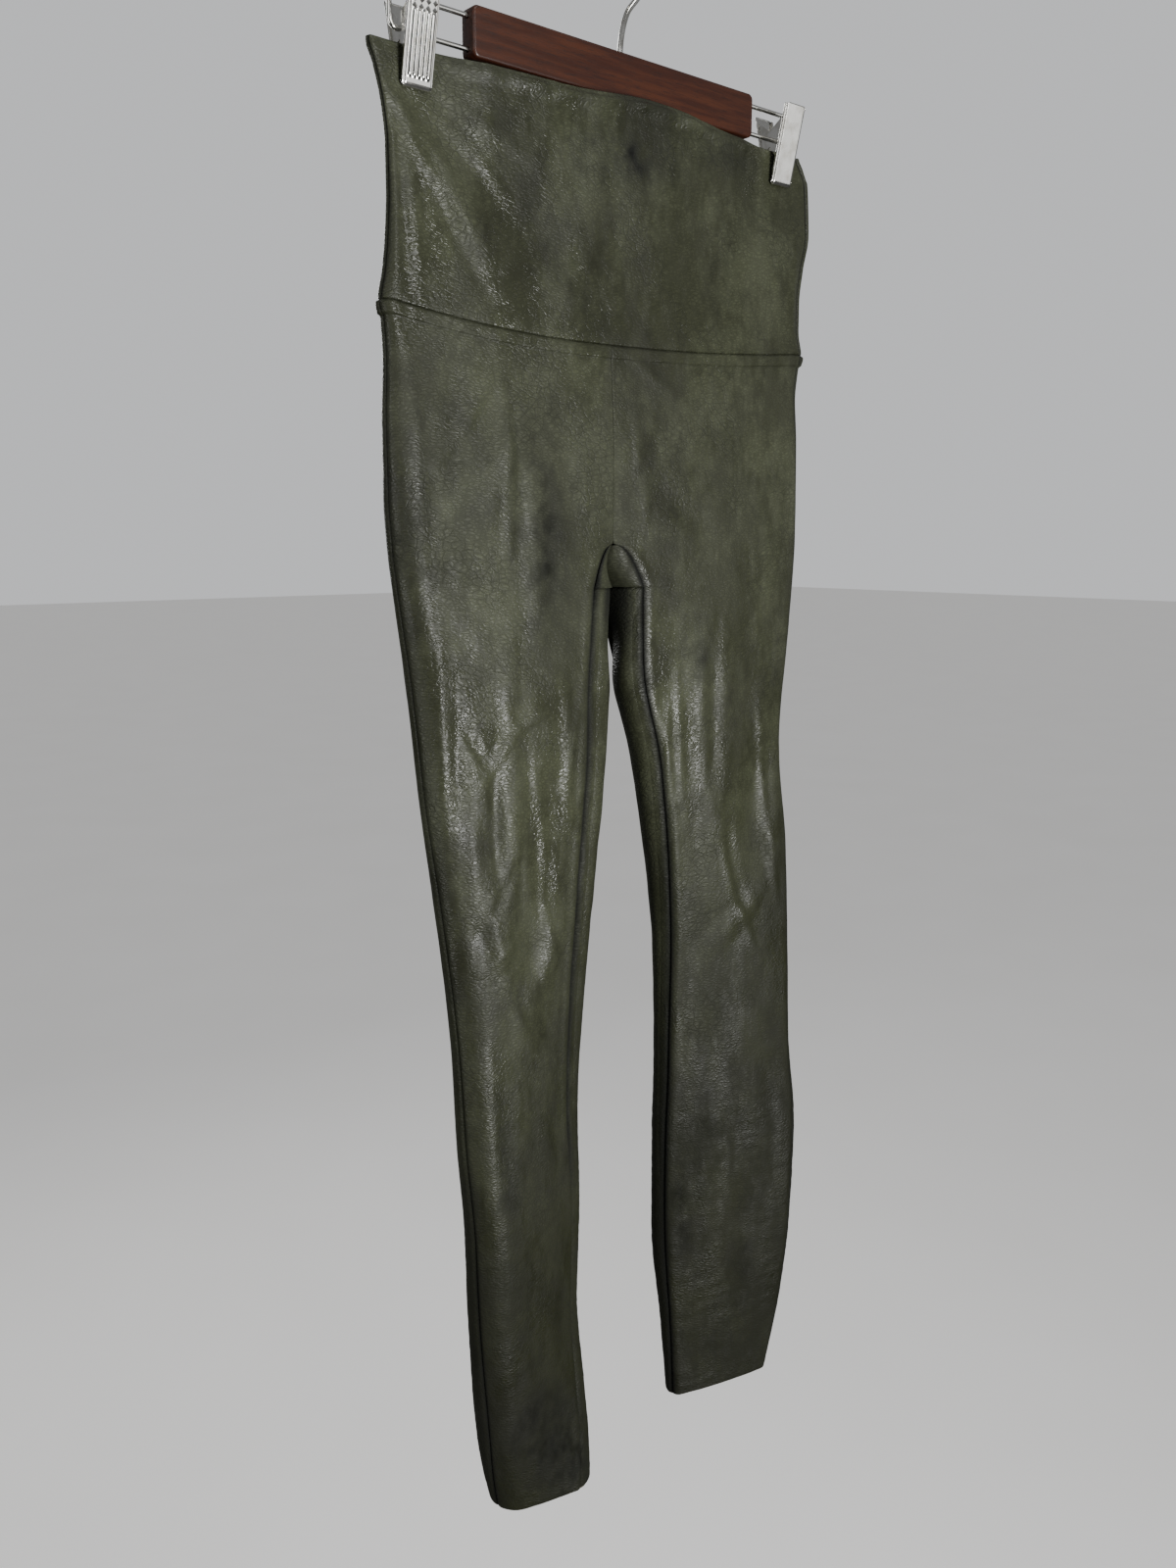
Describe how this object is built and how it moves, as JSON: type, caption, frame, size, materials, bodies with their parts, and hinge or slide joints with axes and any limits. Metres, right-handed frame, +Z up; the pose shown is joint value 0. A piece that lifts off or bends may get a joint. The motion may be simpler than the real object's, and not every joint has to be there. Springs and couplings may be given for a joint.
{
  "type": "faux leather trousers on a clip hanger",
  "caption": "High-waist faux leather leggings with a wide plain waistband, hung flat by clips from a wooden hanger.",
  "frame": {"origin": "inside top of the hanger's hook, where it rests on a rail", "axes": "+Z up, +X along the hanger bar to the right of someone facing the front, whose front faces -Y"},
  "size_m": [0.3781, 0.0629, 1.0841],
  "materials": {
    "faux_leather": "mottled olive faux leather with a fine reptile grain and a broken satin shine",
    "stained_wood": "dark red-brown stained wood under satin lacquer",
    "polished_steel": "bright nickel-plated steel"
  },
  "bodies": {
    "root": {"waistband_front": "faux_leather", "waistband_back": "faux_leather", "leg_front_left": "faux_leather", "leg_back_left": "faux_leather", "leg_front_right": "faux_leather", "leg_back_right": "faux_leather", "gusset": "faux_leather", "hanger_bar": "stained_wood", "hanger_hook": "polished_steel", "wire_loop_left": "polished_steel", "clip_front_jaw_left": "polished_steel", "clip_rear_jaw_left": "polished_steel", "clip_spring_left": "polished_steel", "wire_loop_right": "polished_steel", "clip_front_jaw_right": "polished_steel", "clip_rear_jaw_right": "polished_steel", "clip_spring_right": "polished_steel"}
  },
  "joints": []
}
